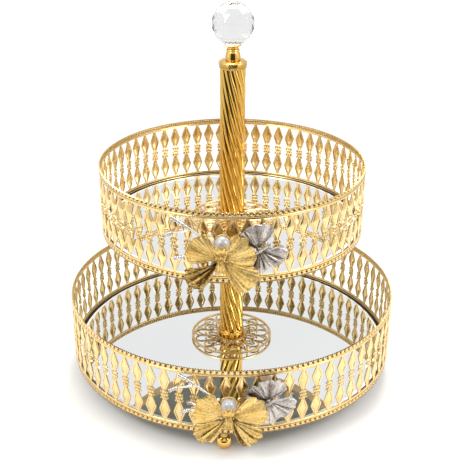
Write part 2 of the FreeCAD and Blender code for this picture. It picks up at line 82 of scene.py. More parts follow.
class Shape:
    """Gathers the points and faces of one piece, and how deep in a crease each point lies. On metal this
    value paints shade, partly antique wash, into the piece; on a mirror it marks the ground rim.
    """

    def __init__(self):
        self.points = []
        self.faces = []
        self.creases = []

    def loops(self, rows, creases, closed=False, capped=True):
        """Joins rings of points one after another. closed joins the last ring to the first."""
        first = len(self.points)
        size = len(rows[0])
        for row, depths in zip(rows, creases):
            self.points += row
            self.creases += depths
        joints = len(rows) if closed else len(rows) - 1
        for r in range(joints):
            here = first + r * size
            there = first + (r + 1) % len(rows) * size
            for c in range(size):
                d = (c + 1) % size
                self.faces.append((here + c, here + d, there + d, there + c))
        if capped and not closed:
            self.faces.append(tuple(range(first, first + size)))
            last = first + (len(rows) - 1) * size
            self.faces.append(tuple(range(last + size - 1, last - 1, -1)))

    def tube(self, points, radii, sides=8, flat=1.0, across=UP, crease=0.0):
        """A round rod along points, squeezed by flat along the across direction."""
        rows = []
        depths = []
        for i, (point, radius) in enumerate(zip(points, radii)):
            ahead = points[min(i + 1, len(points) - 1)]
            behind = points[max(i - 1, 0)]
            along = (ahead - behind).normalized()
            side = along.cross(across)
            if side.length < 1e-6:
                side = along.orthogonal()
            side.normalize()
            rise = side.cross(along)
            row = []
            for k in range(sides):
                a = FULL_TURN * k / sides
                row.append(point + side * radius * math.cos(a) + rise * radius * flat * math.sin(a))
            rows.append(row)
            depths.append([crease] * sides)
        self.loops(rows, depths)

    def bead(self, centre, radius, crease=0.0, squash=1.0, sides=8, rings=6):
        """A small ball, flattened upwards by squash."""
        rows = []
        for r in range(rings):
            b = math.pi * (r + 0.5) / rings - math.pi / 2
            row = []
            for k in range(sides):
                a = FULL_TURN * k / sides
                out = Vector((math.cos(a) * math.cos(b), math.sin(a) * math.cos(b), math.sin(b) * squash))
                row.append(centre + out * radius)
            rows.append(row)
        self.loops(rows, [[crease] * sides] * rings)

    def lathe(self, centre, profile, sides=64, crease=None):
        """Turns (radius, height) points round the vertical through centre."""
        rows = []
        depths = []
        for i, (radius, height) in enumerate(profile):
            row = []
            for k in range(sides):
                a = FULL_TURN * k / sides
                row.append(Vector((centre.x + radius * math.cos(a), centre.y + radius * math.sin(a), height)))
            rows.append(row)
            depths.append([crease[i] if crease else 0.0] * sides)
        self.loops(rows, depths)


def make(name, shape, material, body, nodes, sharp_angle=40):
    """Makes a piece from a shape, parents it to what it rides on and hides the CAD nodes it stands for."""
    mesh = bpy.data.meshes.new(name)
    mesh.from_pydata([tuple(p) for p in shape.points], [], shape.faces)
    depth = mesh.attributes.new("crease", "FLOAT", "POINT")
    depth.data.foreach_set("value", shape.creases)
    work = bmesh.new()
    work.from_mesh(mesh)
    bmesh.ops.recalc_face_normals(work, faces=work.faces)
    work.to_mesh(mesh)
    work.free()
    mesh.polygons.foreach_set("use_smooth", [True] * len(mesh.polygons))
    mesh.set_sharp_from_angle(angle=math.radians(sharp_angle))
    mesh.materials.append(material)
    piece = bpy.data.objects.new(name, mesh)
    bpy.context.scene.collection.objects.link(piece)
    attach(piece, body)
    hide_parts(*nodes)


def smooth(low, high, value):
    """0 on low's side, 1 on high's side, and a soft step between them. low may be the larger."""
    share = min(max((value - low) / (high - low), 0.0), 1.0)
    return share * share * (3 - 2 * share)


def on_ring(radius, turn, height):
    """A point round the column's axis. turn is from the front, positive to the right."""
    return Vector((AXIS.x + radius * math.sin(turn), AXIS.y - radius * math.cos(turn), height))


def radius_of(node):
    low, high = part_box(node)
    return (high.x - low.x) / 2


def centre_of(node):
    low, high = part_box(node)
    return (low + high) / 2


# ---------------------------------------------------------------- materials

class Nodes:
    """Short calls for building one material's node tree."""

    def __init__(self, name):
        self.material = bpy.data.materials.new(name)
        self.material.use_nodes = True
        self.tree = self.material.node_tree
        self.shader = self.tree.nodes["Principled BSDF"]
        self.place = self.add("ShaderNodeTexCoord").outputs["Object"]

    def add(self, kind, **settings):
        node = self.tree.nodes.new(kind)
        for key, value in settings.items():
            setattr(node, key, value)
        return node

    def link(self, source, target):
        self.tree.links.new(source, target)

    def noise(self, size, detail=3.0):
        """Soft random grain whose lumps are about size across."""
        node = self.add("ShaderNodeTexNoise")
        node.inputs["Scale"].default_value = 1 / size
        node.inputs["Detail"].default_value = detail
        self.link(self.place, node.inputs["Vector"])
        return node.outputs["Fac"]

    def spread(self, source, low, high, start=0.3, end=0.7):
        """Stretches a value from start..end to low..high."""
        node = self.add("ShaderNodeMapRange")
        node.inputs["From Min"].default_value = start
        node.inputs["From Max"].default_value = end
        node.inputs["To Min"].default_value = low
        node.inputs["To Max"].default_value = high
        self.link(source, node.inputs["Value"])
        return node.outputs["Result"]

    def mix(self, factor, first, second):
        """Blends two colours. Each is a plain colour or a socket."""
        node = self.add("ShaderNodeMix", data_type="RGBA")
        self.link(factor, node.inputs["Factor"])
        for name, colour in (("A", first), ("B", second)):
            socket = [s for s in node.inputs if s.name == name and s.type == "RGBA"][0]
            if isinstance(colour, bpy.types.NodeSocket):
                self.link(colour, socket)
            else:
                socket.default_value = (*colour, 1)
        return [s for s in node.outputs if s.type == "RGBA"][0]

    def bump(self, height, strength, distance):
        node = self.add("ShaderNodeBump")
        node.inputs["Strength"].default_value = strength
        node.inputs["Distance"].default_value = distance
        self.link(height, node.inputs["Height"])
        self.link(node.outputs["Normal"], self.shader.inputs["Normal"])

    def crease(self):
        return self.add("ShaderNodeAttribute", attribute_name="crease").outputs["Fac"]


def metal(name, pale, deep, dark, roughness, grain, bump, use_crease=True, speckle=0.0):
    """Plated metal: two tones in soft clouds, painted shade (partly antique wash) in the creases, uneven
    gloss and fine grain.

    speckle is how dark the small pits of a rough casting are."""
    nodes = Nodes(name)
    colour = nodes.mix(nodes.spread(nodes.noise(14 * MM), 0, 1), pale, deep)
    if speckle:
        pits = nodes.spread(nodes.noise(1.6 * MM, 2.0), 0, speckle, 0.5, 0.68)
        colour = nodes.mix(pits, colour, dark)
    if use_crease:
        # painted shade, partly antique wash: the crease value, made a little uneven, blends in the dark
        # colour
        shade_and_wash = nodes.add("ShaderNodeMath", operation="MULTIPLY")
        nodes.link(nodes.crease(), shade_and_wash.inputs[0])
        nodes.link(nodes.spread(nodes.noise(2 * MM), 0.75, 1.15), shade_and_wash.inputs[1])
        colour = nodes.mix(shade_and_wash.outputs["Value"], colour, dark)
    nodes.link(colour, nodes.shader.inputs["Base Color"])
    low, high = roughness
    nodes.link(nodes.spread(nodes.noise(5 * MM), low, high), nodes.shader.inputs["Roughness"])
    nodes.shader.inputs["Metallic"].default_value = 1.0
    nodes.bump(nodes.noise(grain, 2.0), bump, 0.1 * MM)
    return nodes.material


def clouded(name, noise, first, second, roughness, bump=None, grain=None, sockets=()):
    """A material of one noise: two tints, uneven gloss, and a bump of that noise or of a finer grain.

    noise is (size, detail), bump is (strength, distance), and sockets sets single values."""
    nodes = Nodes(name)
    clouds = nodes.noise(*noise)
    nodes.link(nodes.mix(nodes.spread(clouds, 0, 1), first, second), nodes.shader.inputs["Base Color"])
    nodes.link(nodes.spread(clouds, *roughness), nodes.shader.inputs["Roughness"])
    for socket, value in sockets:
        nodes.shader.inputs[socket].default_value = value
    if bump:
        nodes.bump(nodes.noise(grain) if grain else clouds, *bump)
    return nodes.material


def mirror_material():
    """A silvered mirror. Its ground rim, marked by the crease attribute, is white and matt."""
    nodes = Nodes("mirror_glass")
    haze = nodes.noise(60 * MM, 4.0)
    tint = nodes.mix(nodes.spread(haze, 0, 1), (0.90, 0.92, 0.94), (0.93, 0.945, 0.95))
    tint = nodes.mix(nodes.crease(), tint, (1.0, 1.0, 0.99))
    nodes.link(tint, nodes.shader.inputs["Base Color"])
    gloss = nodes.add("ShaderNodeMath", operation="ADD")
    nodes.link(nodes.spread(haze, 0.005, 0.03), gloss.inputs[0])
    nodes.link(nodes.spread(nodes.crease(), 0, 0.55, 0, 1), gloss.inputs[1])
    nodes.link(gloss.outputs["Value"], nodes.shader.inputs["Roughness"])
    nodes.shader.inputs["Metallic"].default_value = 1.0
    nodes.bump(nodes.noise(90 * MM, 1.0), 0.02, 0.05 * MM)
    return nodes.material


# The third colour of each metal is its crease colour: painted shade, partly antique wash.
GALLERY_GOLD = metal("satin_gallery_gold", (0.90, 0.685, 0.345), (0.83, 0.60, 0.265), (0.05, 0.02, 0.005),
                     (0.19, 0.32), 0.7 * MM, 0.4, speckle=0.1)
RAIL_GOLD = metal("bright_rail_gold", (0.88, 0.655, 0.32), (0.81, 0.57, 0.24), (0.045, 0.018, 0.004),
                  (0.1, 0.2), 0.9 * MM, 0.2)
COLUMN_GOLD = metal("polished_column_gold", (0.86, 0.55, 0.135), (0.79, 0.475, 0.095), (0.20, 0.09, 0.015),
                    (0.06, 0.12), 3 * MM, 0.1)
FINIAL_GOLD = metal("polished_finial_gold", (0.85, 0.56, 0.175), (0.78, 0.48, 0.125), (0.22, 0.10, 0.02),
                    (0.06, 0.13), 3 * MM, 0.1)
FILIGREE_GOLD = metal("filigree_gold", (0.90, 0.68, 0.34), (0.76, 0.53, 0.22), (0.15, 0.075, 0.02),
                      (0.24, 0.4), 1.2 * MM, 0.5)
FLOWER_GOLD = metal("antique_flower_gold", (0.98, 0.73, 0.30), (0.91, 0.61, 0.185), (0.09, 0.038, 0.008),
                    (0.36, 0.5), 0.6 * MM, 1.0, speckle=0.45)
SILVER = metal("antique_silver", (0.76, 0.72, 0.68), (0.62, 0.575, 0.535), (0.085, 0.05, 0.03),
               (0.34, 0.48), 0.6 * MM, 1.0, speckle=0.5)
TWIG_SILVER = metal("bright_twig_silver", (0.84, 0.82, 0.80), (0.70, 0.67, 0.65), (0.05, 0.03, 0.02),
                    (0.14, 0.28), 0.6 * MM, 0.5, speckle=0.2)
# The pan's gold is darkened to match the shade it lies in under each tray: painted shade on a dull gold.
PAN_GOLD_PAINTED_SHADE = metal("tray_pan_dull_gold_painted_shade", (0.40, 0.29, 0.165), (0.33, 0.235, 0.13), (0.2, 0.1, 0.02),
                 (0.45, 0.6), 1.5 * MM, 0.3, use_crease=False)
ZINC = metal("zinc_plated_steel", (0.62, 0.63, 0.64), (0.48, 0.49, 0.50), (0.1, 0.1, 0.1),
             (0.25, 0.45), 1 * MM, 0.4, use_crease=False)
FELT = clouded("grey_green_felt", (1.5 * MM, 6.0), (0.115, 0.125, 0.095), (0.175, 0.185, 0.145),
               (0.85, 1.0), (0.6, 0.3 * MM), sockets=[("Sheen Weight", 0.3)])
# Black foam under the mirrors; its lip round each mirror is a painted shadow gap.
FOAM_AND_SHADOW_GAP = clouded("black_foam_painted_shadow_gap", (0.8 * MM, 4.0), (0.012, 0.009, 0.007), (0.03, 0.024, 0.02),
               (0.7, 0.95), (0.5, 0.2 * MM))
MIRROR = mirror_material()
PEARL = clouded("pearl_bead", (4 * MM, 3.0), (0.33, 0.325, 0.33), (0.52, 0.515, 0.52),
                (0.2, 0.38), (0.1, 0.1 * MM), sockets=[("Metallic", 0.15), ("Coat Weight", 0.6)])
CRYSTAL = clouded("crystal", (9 * MM, 2.0), (0.95, 0.965, 0.975), (0.98, 0.985, 0.99),
                  (0.0, 0.015), sockets=[("Transmission Weight", 1.0), ("IOR", 1.36)])
FLOOR = clouded("pale_floor", (40 * MM, 4.0), (0.90, 0.895, 0.885), (0.915, 0.91, 0.90),
                (0.75, 0.85), (0.05, 0.1 * MM), grain=1.5 * MM)

CAD_FINISHES = {
    "tray_pan": PAN_GOLD_PAINTED_SHADE, "underside_disc": FELT,
    "screw": ZINC, "washer": ZINC, "insert": ZINC, "stud": ZINC, "posts": FLOWER_GOLD,
}


def finish_cad_nodes():
    """Gives every CAD node that still shows its material, by the end of its name."""
    for name, node in frame["nodes"].items():
        for ending, material in CAD_FINISHES.items():
            if name.endswith(ending):
                node.data.materials.clear()
                node.data.materials.append(material)


# ---------------------------------------------------------------- galleries

CELL_PITCH = 4.75 * MM      # from one hole of a rail to the next
CELL_STEPS = 12             # columns of points in one cell
RING_HEIGHT = 2.4 * MM      # the plain half-round rib beside the balusters
RIB_DEPTH = 0.9 * MM
STRIP_SINK = 0.35 * MM      # how far the pierced strip lies inside the rib's crest
HOLE_RADIUS = 0.92 * MM     # the holes are pits, not cut through, painted fully dark as the shade of a hole
HOLE_DEPTH = 0.7 * MM
STRIP_ROWS = 13             # rows of points over the pierced strip
RIB_ROWS = 7
HALF_RIB_ROWS = 8
RIM_WAVE = 0.6 * MM         # how far the rail's scalloped rim dips
RAIL_THICKNESS = 1.8 * MM


def half_round(height, low, high):
    """The relief of a rib between low and high, 0 at its crest, and how creased it is there, which sets its
    painted shade.
    """
    share = 2 * (height - low) / (high - low) - 1
    bulge = math.sqrt(max(0.0, 1 - share * share))
    return (bulge - 1) * RIB_DEPTH, 0.8 * (1 - bulge) ** 2


def pierced_strip(across, height, top):
    """Relief of the strip's outer side: a deep round pit in each cell, crossed bars and fine beads. Painted
    shade darkens the pits, the field between the bars and a groove above the rib.
    """
    middle = (RING_HEIGHT + top) / 2
    sink = -STRIP_SINK
    crease = 0.04
    pit = 1 - smooth(0.8 * HOLE_RADIUS, 1.1 * HOLE_RADIUS, math.hypot(across, height - middle))
    to_cross = CELL_PITCH / 2 - abs(across)
    bar = abs(abs(height - middle) - 0.9 * to_cross)
    sink += 0.16 * MM * (1 - smooth(0.15 * MM, 0.5 * MM, bar))
    crease += 0.16 * smooth(0.2 * MM, 0.6 * MM, bar)
    bead_place = abs(across % (CELL_PITCH / 3) - CELL_PITCH / 6)
    for edge in (RING_HEIGHT + 0.35 * MM, top - 0.4 * MM):
        bead = 1 - smooth(0.15 * MM, 0.5 * MM, math.hypot(bead_place, height - edge))
        sink += 0.24 * MM * bead
        crease *= 1 - 0.9 * bead
    # a narrow groove above the rib, painted dark as shade
    if height - RING_HEIGHT < 0.2 * MM:
        sink -= 0.4 * MM
        crease = 0.85
    sink -= HOLE_DEPTH * pit
    # the pit is painted fully dark, as shade where a real hole goes through
    return sink, max(crease * (1 - pit), pit)


def beaded_strip(across, height, top):
    """Relief of the strip's inner side: two rows of round beads, with painted shade between them."""
    half = CELL_PITCH / 4
    middle = (RING_HEIGHT + top) / 2
    row = middle + math.copysign(0.95 * MM, height - middle)
    bead = 1 - smooth(0.3 * MM, 0.95 * MM, math.hypot(abs(across % (2 * half) - half), height - row))
    return 0.35 * MM * bead - STRIP_SINK, 0.5 * (1 - bead)


def rail_heights(top, plain):
    """Heights of the rows of points over one face of a rail."""
    if plain:
        rib = [top * (1 - math.cos(math.pi * k / HALF_RIB_ROWS)) / 4 for k in range(HALF_RIB_ROWS + 1)]
        return [foot + height for foot in (0, top / 2) for height in rib]
    rib = [RING_HEIGHT * (1 - math.cos(math.pi * k / RIB_ROWS)) / 2 for k in range(RIB_ROWS + 1)]
    strip = [RING_HEIGHT + (top - RING_HEIGHT) * (k + 1) / STRIP_ROWS for k in range(STRIP_ROWS)]
    return rib + strip


def rail_relief(across, height, top, plain, outward):
    """The relief of a rail's face at a place, and how creased it is there."""
    if plain:
        half = top / 2
        return half_round(height % half if height < top else half, 0, half)
    if height <= RING_HEIGHT:
        return half_round(height, 0, RING_HEIGHT)
    if outward < 0:
        return beaded_strip(across, height, top)
    return pierced_strip(across, height, top)


def rail(tier, side, body):
    """One ring of a gallery. The plain rib is beside the balusters and the pierced strip beyond it."""
    node = f"{tier}_{side}_rail"
    low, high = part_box(node)
    radius = radius_of(node)
    top = high.z - low.z
    upward = 1 if side == "top" else -1
    start = low.z if side == "top" else high.z
    cells = round(FULL_TURN * radius / CELL_PITCH)
    columns = cells * CELL_STEPS
    faces = [(1, h, False) for h in rail_heights(top, False)]
    inner_plain = side == "bottom"
    faces += [(-1, h, inner_plain) for h in reversed(rail_heights(top, inner_plain))]
    rows = []
    creases = []
    for outward, height, plain in faces:
        wave = RIM_WAVE * smooth(top - 2 * RIM_WAVE, top, height)
        cell = []
        for step in range(CELL_STEPS):
            across = (step / CELL_STEPS - 0.5) * CELL_PITCH
            sink, crease = rail_relief(across, height, top, plain, outward)
            dip = wave * (0.5 + 0.5 * math.cos(2 * FULL_TURN * across / CELL_PITCH))
            reach = radius + sink if outward > 0 else radius - RAIL_THICKNESS - sink
            cell.append((reach, start + upward * (height - dip), crease))
        row = []
        depths = []
        for column in range(columns):
            reach, level, crease = cell[column % CELL_STEPS]
            row.append(on_ring(reach, FULL_TURN * column / columns, level))
            depths.append(crease)
        rows.append(row)
        creases.append(depths)
    shape = Shape()
    shape.loops(rows, creases, closed=True)
    make(f"{tier}_{side}_rail_pierced", shape, RAIL_GOLD, body, [node])


DIAMOND_HEIGHT = 19.6 * MM
DIAMOND_HALF_WIDTH = 5.15 * MM
WAIST_HALF_WIDTH = 1.7 * MM
TIP_HALF_WIDTH = 1.1 * MM
KNOT_HALF_WIDTH = 2.6 * MM
KNOT_LOBE = 1.1 * MM
KNOT_ROWS = 3
BORDER = 1.15 * MM          # the flat border round each diamond
FACET = 0.85 * MM           # the narrow steep facet inside its groove
GROOVE_DEPTH = 0.36 * MM
CROWN = 0.45 * MM           # how far a diamond rises to its middle
PLATE_HALF_THICKNESS = 0.65 * MM
BEVEL = 0.35 * MM           # how far an edge is rounded back
BALUSTER_TAIL = 0.6 * MM    # how far each end reaches into its rail
DIAMOND_STEPS = 16
KNOT_STEPS = 15


def baluster_outline(height, total):
    """Half width of a baluster at a height, and whether that is in the knot between its diamonds."""
    from_end = min(height, total - height)
    if from_end < DIAMOND_HEIGHT:
        share = abs(2 * from_end / DIAMOND_HEIGHT - 1)
        end = TIP_HALF_WIDTH if from_end < DIAMOND_HEIGHT / 2 else WAIST_HALF_WIDTH
        return end + (DIAMOND_HALF_WIDTH - end) * (1 - share ** 1.12), False
    share = (height - DIAMOND_HEIGHT) / (total - 2 * DIAMOND_HEIGHT)
    lobe = abs(math.sin(KNOT_ROWS * math.pi * share)) ** 1.6
    shoulder = smooth(0, 0.12, min(share, 1 - share))
    return WAIST_HALF_WIDTH + (KNOT_HALF_WIDTH - WAIST_HALF_WIDTH) * shoulder + KNOT_LOBE * lobe, True


def knot_section(height, half, total):
    """A section through the knot: rows of small florets, each row set off from the one below."""
    share = (height - DIAMOND_HEIGHT) / (total - 2 * DIAMOND_HEIGHT)
    row = min(int(KNOT_ROWS * share), KNOT_ROWS - 1)
    upright = math.sin(math.pi * (KNOT_ROWS * share - row))
    points = []
    for k in range(-6, 7):
        sideways = abs(math.cos(math.pi * k / 4)) if row % 2 else abs(math.sin(math.pi * k / 4))
        floret = math.sqrt(max(0.0, upright * sideways))
        edge = 0.3 * MM if abs(k) == 6 else 0
        # painted shade in the hollows between the florets
        points.append((half * k / 6, 0.65 * MM * floret - 0.35 * MM - edge, 0.34 * (1 - floret) ** 1.5))
    return points


def baluster_section(height, total):
    """(across, relief, crease) points over one face of a baluster, from its left edge to its right."""
    half, in_knot = baluster_outline(height, total)
    if in_knot:
        return knot_section(height, half, total)
    room = smooth(0.8 * BORDER, 2.2 * BORDER, half)
    lip = max(half - 0.3 * MM, 0.8 * half)
    border = max(half - BORDER, 0.62 * half)
    groove = max(border - 0.35 * MM, 0.5 * half)
    shoulder = max(groove - FACET, 0.3 * half)
    peak = CROWN * smooth(2 * BORDER, DIAMOND_HALF_WIDTH, half)
    level = (0.25 * peak - 0.05 * MM) * room
    # painted shade in the groove round each diamond's border, and a little at its bevelled edge
    side = [(half, -BEVEL, 0.12), (lip, 0.0, 0.0), (border, 0.0, 0.0),
            (groove, -GROOVE_DEPTH * room, 0.3 * room), (shoulder, level, 0.05 * room),
            (shoulder / 2, (level + peak * room) / 2, 0.03 * room)]
    left = [(-across, relief, crease) for across, relief, crease in side]
    return left + [(0.0, peak * room, 0.03 * room)] + side[::-1]


def balusters(tier, body):
    """The gallery's ring of embossed uprights, each two diamonds with a knot of florets between."""
    node = f"{tier}_balusters"
    low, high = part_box(node)
    middle = radius_of(node) - RAIL_THICKNESS / 2
    total = high.z - low.z
    lower = [-BALUSTER_TAIL] + [DIAMOND_HEIGHT * k / DIAMOND_STEPS for k in range(1, DIAMOND_STEPS)]
    knot_height = total - 2 * DIAMOND_HEIGHT
    knot = [DIAMOND_HEIGHT + knot_height * k / KNOT_STEPS for k in range(KNOT_STEPS + 1)]
    heights = lower + knot + [total - height for height in reversed(lower)]
    template = []
    for height in heights:
        section = baluster_section(min(max(height, 0.0), total), total)
        face = [(across, PLATE_HALF_THICKNESS + relief, crease) for across, relief, crease in section]
        back = [(across, -out, crease) for across, out, crease in reversed(face)]
        template.append((height, face + back))
    shape = Shape()
    for number in range(BALUSTER_COUNT[tier]):
        turn = FIRST_BALUSTER[tier] + FULL_TURN * number / BALUSTER_COUNT[tier]
        rows = []
        creases = []
        for height, loop in template:
            rows.append([on_ring(middle + out, turn + across / middle, low.z + height)
                         for across, out, _ in loop])
            creases.append([crease for _, _, crease in loop])
        shape.loops(rows, creases)
    make(f"{tier}_balusters_embossed", shape, GALLERY_GOLD, body, [node], sharp_angle=25)


# ---------------------------------------------------------------- mirrors

GROUND_RIM = 2.6 * MM       # width of the mirror's white ground rim
ARRIS = 0.4 * MM
SHADOW_GAP_LIP_RISE = 0.15 * MM
SHADOW_GAP_OVERLAP = 0.8 * MM     # how far the foam's dark lip, a painted shadow gap, covers the glass
TRAY_SIDES = 192


def mirror(tier, body):
    """The tray's round mirror, with a white ground rim and an arris round its edge."""
    node = f"{tier}_mirror"
    low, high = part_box(node)
    edge = radius_of(node) - SHADOW_GAP_OVERLAP
    profile = [(edge, low.z), (edge, high.z - ARRIS), (edge - ARRIS, high.z), (edge - GROUND_RIM, high.z),
               (edge - GROUND_RIM - 0.05 * MM, high.z)]
    shape = Shape()
    shape.lathe(AXIS, profile, sides=TRAY_SIDES, crease=[1, 1, 1, 1, 0])
    make(f"{tier}_mirror_ground_rim", shape, MIRROR, body, [node], sharp_angle=5)


def mirror_pad(tier, body):
    """The black foam under the mirror. It swells up round the mirror's edge as a thin dark lip, a painted
    shadow of the gap between the glass and the rail.
    """
    node = f"{tier}_mirror_pad"
    low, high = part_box(node)
    reach = radius_of(node)
    glass = radius_of(f"{tier}_mirror") - SHADOW_GAP_OVERLAP
    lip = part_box(f"{tier}_mirror")[1].z + SHADOW_GAP_LIP_RISE
    # the lip is foam brought up to the mirror's height, a painted shadow of the gap at the rail
    profile = [(reach, low.z), (reach, lip - 0.3 * MM), (reach - 0.4 * MM, lip), (glass + 0.4 * MM, lip),
               (glass + 0.1 * MM, lip - 0.3 * MM), (glass + 0.1 * MM, high.z), (0.97 * glass, high.z)]
    shape = Shape()
    shape.lathe(AXIS, profile, sides=TRAY_SIDES)
    make(f"{tier}_mirror_pad_foam_shadow_gap", shape, FOAM_AND_SHADOW_GAP, body, [node])


# ---------------------------------------------------------------- columns

FLUTES = 12
FLUTE_STEPS = 10
FLUTE_DEPTH = 1.15 * MM
TWIST_LEAD = 220 * MM       # height in which a flute goes once round
FLUTE_ROW = 2 * MM          # from one row of points to the next


def flute_sink(share):
    """How far the surface lies inside a rib's crest: broad rounded ribs with narrow grooves."""
    return FLUTE_DEPTH * abs(2 * share - 1) ** 2.3


def fluted_column(tier):
    """A twisted tube of twelve rounded ribs."""
    node = f"{tier}_column"
    low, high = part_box(node)
    radius = radius_of(node)
    count = round((high.z - low.z) / FLUTE_ROW)
    rows = []
    creases = []
    for r in range(count + 1):
        height = low.z + (high.z - low.z) * r / count
        turned = -FULL_TURN * height / TWIST_LEAD
        row = []
        depths = []
        for c in range(FLUTES * FLUTE_STEPS):
            share = c % FLUTE_STEPS / FLUTE_STEPS
            sink = flute_sink(share)
            row.append(on_ring(radius - sink, turned + FULL_TURN * c / (FLUTES * FLUTE_STEPS), height))
            # painted shade in the narrow grooves between the ribs
            depths.append(0.85 * (sink / FLUTE_DEPTH) ** 3)
        rows.append(row)
        creases.append(depths)
    shape = Shape()
    shape.loops(rows, creases)
    make(f"{tier}_column_fluted", shape, COLUMN_GOLD, f"{tier}_column", [node], sharp_angle=60)


LEAVES = 8
LEAF_STEPS = 22             # columns of points in one leaf
COLLAR_ROWS = 22


def leaf_collar(tier):
    """The foot of a column: a scalloped line above a ring of pointed leaves with dark arches between. The
    arches, the scalloped line and the veins are darkened with painted shade.
    """
    node = f"{tier}_foot_collar"
    low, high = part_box(node)
    radius = radius_of(node)
    tall = high.z - low.z
    rows = []
    creases = []
    for r in range(COLLAR_ROWS + 1):
        share = r / COLLAR_ROWS
        row = []
        depths = []
        for c in range(LEAVES * LEAF_STEPS):
            across = abs(2 * (c % LEAF_STEPS) / LEAF_STEPS - 1)
            arch = 0.46 * (1 - across) ** 0.55
            open_arch = smooth(0.0, 0.05, arch - share)
            line = 0.86 + 0.05 * math.cos(FULL_TURN * (c % LEAF_STEPS) / LEAF_STEPS)
            scallop = 1 - smooth(0.02, 0.08, abs(share - line))
            vein = 1 - smooth(0.0, 0.14, 1 - across)
            sink = 1.7 * MM * open_arch + 0.55 * MM * scallop
            sink += (0.3 * MM * vein + 0.4 * MM * (1 - across)) * (1 - open_arch) * (1 - share)
            sink += 0.9 * MM * smooth(0.84, 1.0, share)
            row.append(on_ring(radius - sink, FULL_TURN * c / (LEAVES * LEAF_STEPS), low.z + tall * share))
            # painted shade in the arches, the scalloped line and the veins
            depths.append(max(open_arch, 0.95 * scallop, 0.35 * vein * (1 - share)))
        rows.append(row)
        creases.append(depths)
    shape = Shape()
    shape.loops(rows, creases)
    make(f"{tier}_foot_collar_leaves", shape, COLUMN_GOLD, f"{tier}_column", [node])


# ---------------------------------------------------------------- rosettes

ROSETTE_WEB = 2 * MM
ROSETTE_ARMS = 8
WIRE = 0.85 * MM            # half its width
WIRE_STEPS = 5              # points from one place of its path to the next
RIM_GRAINS = 96


def polar_wire(shape, level, path, width=WIRE):
    """A flattened wire through (radius, degrees) places, smoothed into a curve."""
    places = [on_ring(r, math.radians(a), level) for r, a in path]
    points = []
    for i in range(len(places) - 1):
        before = places[max(i - 1, 0)]
        a = places[i]
        b = places[i + 1]
        after = places[min(i + 2, len(places) - 1)]
        for k in range(WIRE_STEPS):
            t = k / WIRE_STEPS
            curve = 2 * a + (b - before) * t + (2 * before - 5 * a + 4 * b - after) * t * t
            curve += (3 * a - before - 3 * b + after) * t * t * t
            points.append(curve / 2)
    points.append(places[-1])
    last = len(points) - 1
    radii = [width * (0.6 + 0.4 * math.sin(math.pi * k / last)) for k in range(last + 1)]
    shape.tube(points, radii, flat=0.95)


def band(shape, section, sides, crease):
    """A closed ring round the column's axis, with a section of (radius, height) points."""
    rows = [[on_ring(r, FULL_TURN * k / sides, z) for k in range(sides)] for r, z in section]
    shape.loops(rows, [[crease] * sides for _ in section], closed=True)


def rosette(tier):
    """The pierced disc under a column: a rim, vine scrolls, hearts, leaves and fine grains."""
    node = f"{tier}_rosette"
    low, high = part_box(node)
    radius = radius_of(node)
    level = high.z - ROSETTE_WEB / 2
    shape = Shape()
    wire = ROSETTE_WEB / 2
    rim = [(radius, level - 0.7 * wire), (radius, level + 0.5 * wire),
           (radius - 0.3 * MM, level + 0.9 * wire), (radius - 1.5 * MM, level + 0.9 * wire),
           (radius - 1.9 * MM, level + 0.4 * wire), (radius - 1.9 * MM, level - 0.7 * wire)]
    band(shape, rim, 144, 0.1)
    # the hub round the column's foot is darkened with painted shade, the rim a little
    hub = [(12.5 * MM, low.z), (12.5 * MM, level), (14.5 * MM, level), (14.2 * MM, high.z), (8 * MM, high.z),
           (8 * MM, low.z)]
    band(shape, hub, 72, 0.35)
    outer = radius / MM - 1
    step = 360 / ROSETTE_ARMS
    chance = random.Random(11)
    for arm in range(ROSETTE_ARMS):
        start = arm * step

        def path(*places):
            return [(r * MM, start + a) for r, a in places]

        heart = path((14, 3), (19, -5), (25, -10), (31, -9), (34, -1), (33, 7), (28, 11), (24, 7), (25, 1))
        polar_wire(shape, level, heart)
        polar_wire(shape, level, path((14, 24), (19, 30), (25, 33), (31, 29), (outer, 22)))
        polar_wire(shape, level, path((14, 21), (18, 15), (23, 17), (24, 23), (20, 26)), 0.85 * WIRE)
        for r, a in ((25, 1), (20, 26), (31, 29), (34, -1)):
            spot = on_ring(r * MM, math.radians(start + a), level + chance.uniform(-0.2, 0.3) * MM)
            shape.bead(spot, chance.uniform(0.75, 1.15) * MM, crease=chance.uniform(0, 0.35), squash=0.9)
    for grain in range(RIM_GRAINS):
        spot = on_ring(radius - 0.7 * MM, FULL_TURN * grain / RIM_GRAINS, high.z - 0.25 * MM)
        shape.bead(spot, 0.45 * MM, squash=0.7, sides=6, rings=4)
    make(f"{tier}_rosette_filigree", shape, FILIGREE_GOLD, f"{tier}_rosette", [node])


# ---------------------------------------------------------------- cap, neck, ball and feet

def column_cap():
    """The plate on top of the columns: bevelled edges and three turned lines round its side."""
    low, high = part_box("column_cap")
    radius = radius_of("column_cap")
    inside = 3.2 * MM
    profile = [(inside, high.z), (radius - 2.6 * MM, high.z), (radius - 1.9 * MM, high.z - 0.15 * MM),
               (radius - 0.45 * MM, high.z - 1.1 * MM), (radius - 0.1 * MM, high.z - 1.5 * MM)]
    # painted shade in the turned lines' grooves and under the plate
    creases = [0, 0, 0, 0, 0.1]
    for line in range(3):
        top = high.z - (1.7 + 0.9 * line) * MM
        profile += [(radius, top), (radius, top - 0.55 * MM), (radius - 0.22 * MM, top - 0.72 * MM)]
        creases += [0, 0, 0.55]
    profile += [(radius - 0.5 * MM, low.z + 0.35 * MM), (radius - 1.3 * MM, low.z), (inside, low.z)]
    creases += [0.1, 0.3, 0.3]
    shape = Shape()
    shape.lathe(AXIS, profile, sides=96, crease=creases)
    make("column_cap_turned", shape, FINIAL_GOLD, "column_cap", ["column_cap"], sharp_angle=35)


